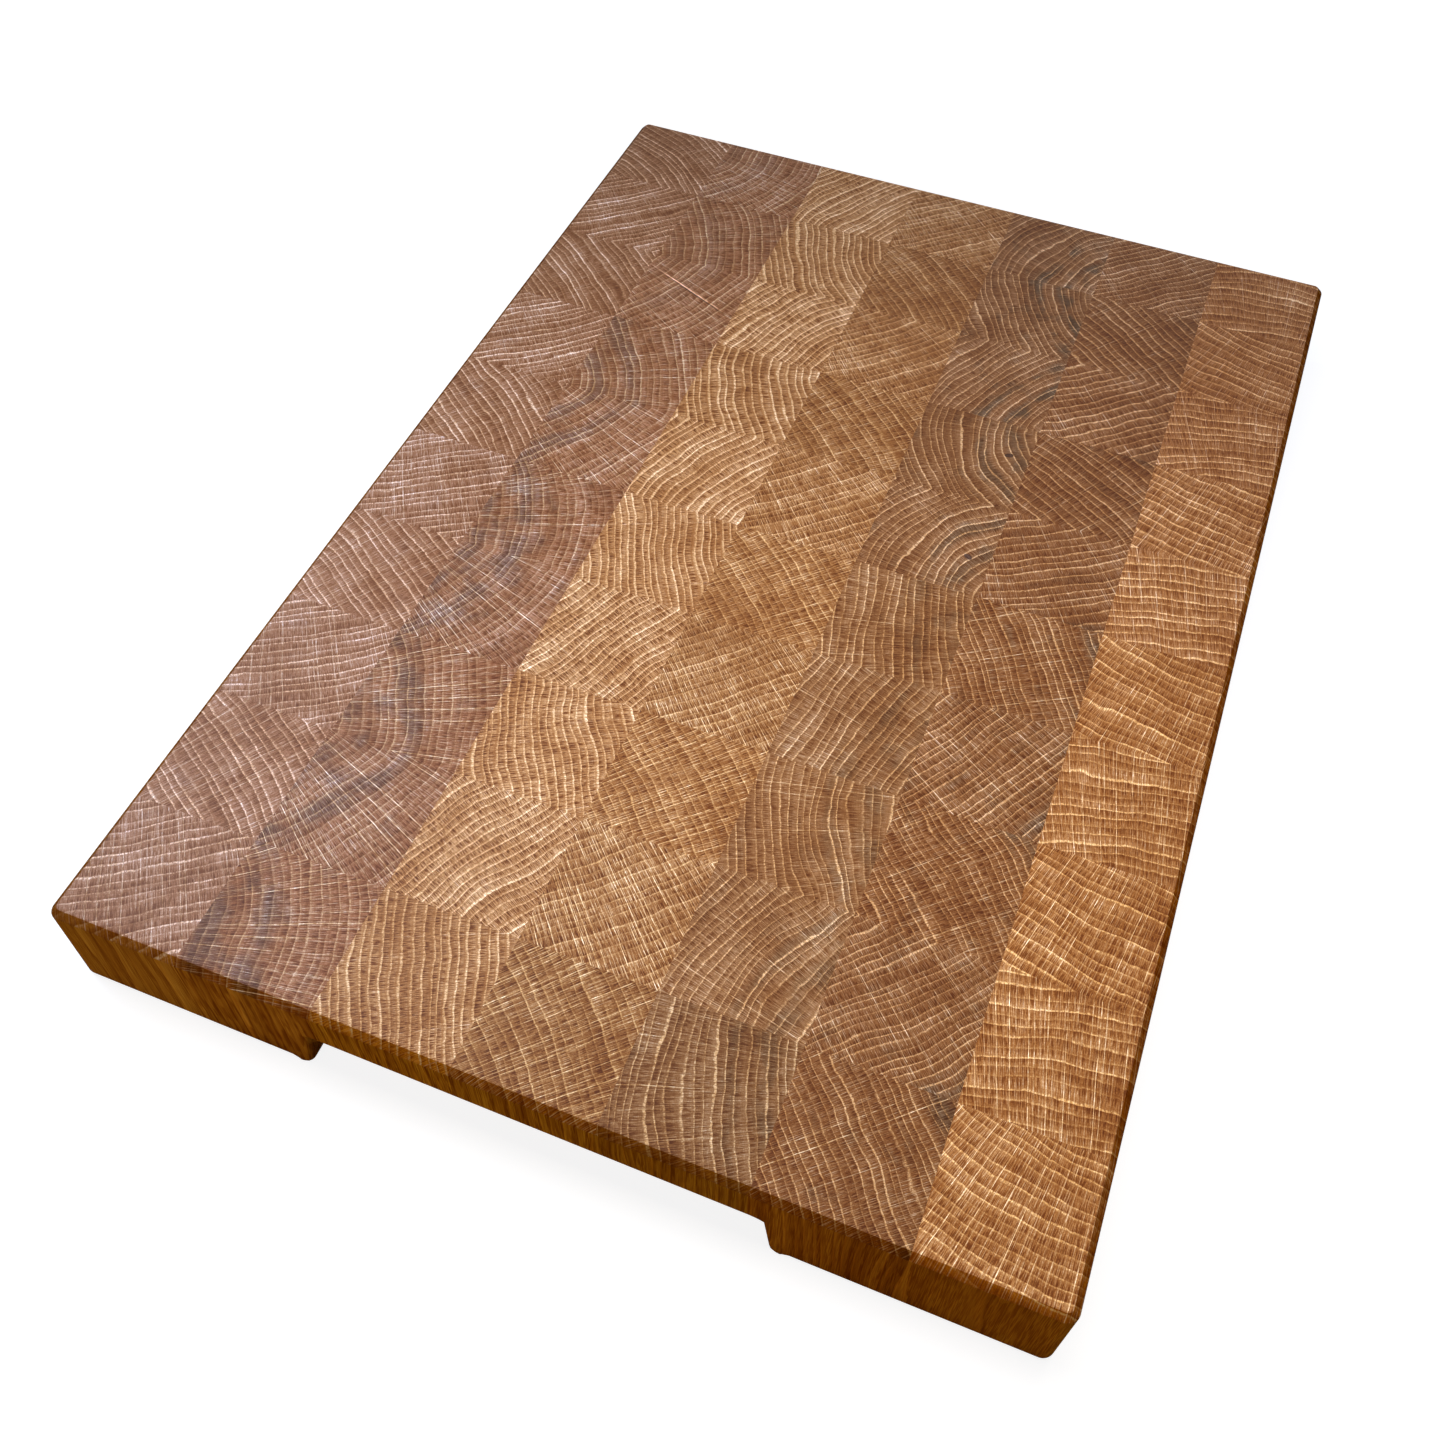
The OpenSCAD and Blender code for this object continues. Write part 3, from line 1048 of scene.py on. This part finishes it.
# %% [markdown]
# ## Oiled oak
#
# Oil soaks into sanded wood and leaves no film. Sawn across, it gives the eye a satin sheen that is a little
# duller where open pores break it. Along the grain, on the sides of this board, the oil doesn't shine at
# all. So each stave has two finishes, which share their patterns.

# %% Make the finishes
oil_ior = 1.5
sheen_across = 0.2
sheen_along = 0.0
rough_step = (0.3, 0.7, 0.42, 0.56)
pore_height = -0.5
bump_height = 0.00008
bump_strength = 0.35


def oiled_oak(stave, sawn_across):
    """Oak, sanded and wiped with oil. Its colour is the mixed colours of the wood times its shade and its
    tint, and the tint holds a painted sheen and a painted colour of the light. The fibres make it rougher and
    smoother, and the pores of the spring wood lie lower."""
    cut = "sawn across" if sawn_across else "along the grain"
    material = bpy.data.materials.new(f"oak, {cut}, sanded and oiled, stave {stave}")
    material.use_nodes = True
    tree = material.node_tree
    tree.nodes.clear()
    wood = stave_grain(tree, stave)
    colour = oak_colour(tree, stave, sawn_across, wood)
    colour = add(tree, "VectorMath", colour, oak_shade(tree, stave, sawn_across, wood), **times)
    # The tint paints a sheen on the strips that were not turned, and the colour of the light towards the back
    colour = add(tree, "VectorMath", colour, oak_tint(tree, stave, wood), **times)
    rough = add(tree, "MapRange", wood["fibres"], *rough_step, **smooth)
    height = add(tree, "Math", wood["spring"], pore_height, wood["fibres"], **times_plus)
    uneven = {"Strength": bump_strength, "Distance": bump_height, "Height": height}
    sheen = sheen_across if sawn_across else sheen_along
    oil = {"Base Color": colour, "Roughness": rough, "Normal": add(tree, "Bump", named=uneven),
           "IOR": oil_ior, "Specular IOR Level": sheen}
    add(tree, "OutputMaterial", add(tree, "BsdfPrincipled", named=oil), output=None)
    return material


finishes = {stave: (oiled_oak(stave, True), oiled_oak(stave, False)) for stave in tones}
print("made", len(finishes), "pairs of finishes, each of", len(finishes[1][0].node_tree.nodes), "nodes")

# %% [markdown]
# ## Glue up the board
#
# Now every block is made in its place, gets its place in the log and the finish of its stave, and hides
# the imported node that holds it. Two inner blocks share one node, so both hide it.

# %% Make all the blocks
faces_made = 0
for stave in range(1, stave_count + 1):
    for strip in range(1, strip_count + 1):
        name = f"oak_block_stave_{stave}_strip_{strip}"
        mesh, points, on_side = block_mesh(name, stave, strip)
        log = place_in_log(points, stave, strip)
        stains = minerals(log, stave, strip)
        facing = np.full(len(points), 1.0 - strip % 2)
        grown = mesh.attributes.new("log", "FLOAT_VECTOR", "POINT")
        grown.data.foreach_set("vector", log.astype(np.float32).ravel())
        for title, values in (("minerals", stains), ("facing", facing)):
            mesh.attributes.new(title, "FLOAT", "POINT").data.foreach_set("value", values.astype(np.float32))
        mesh.materials.append(finishes[stave][0])
        mesh.materials.append(finishes[stave][1])
        mesh.polygons.foreach_set("material_index", on_side)
        block = bpy.data.objects.new(name, mesh)
        scene.collection.objects.link(block)
        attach(block, "root")
        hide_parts(node_of(stave, strip))
        faces_made += len(mesh.polygons)
print("glued up", stave_count * strip_count, "blocks with", faces_made, "faces")
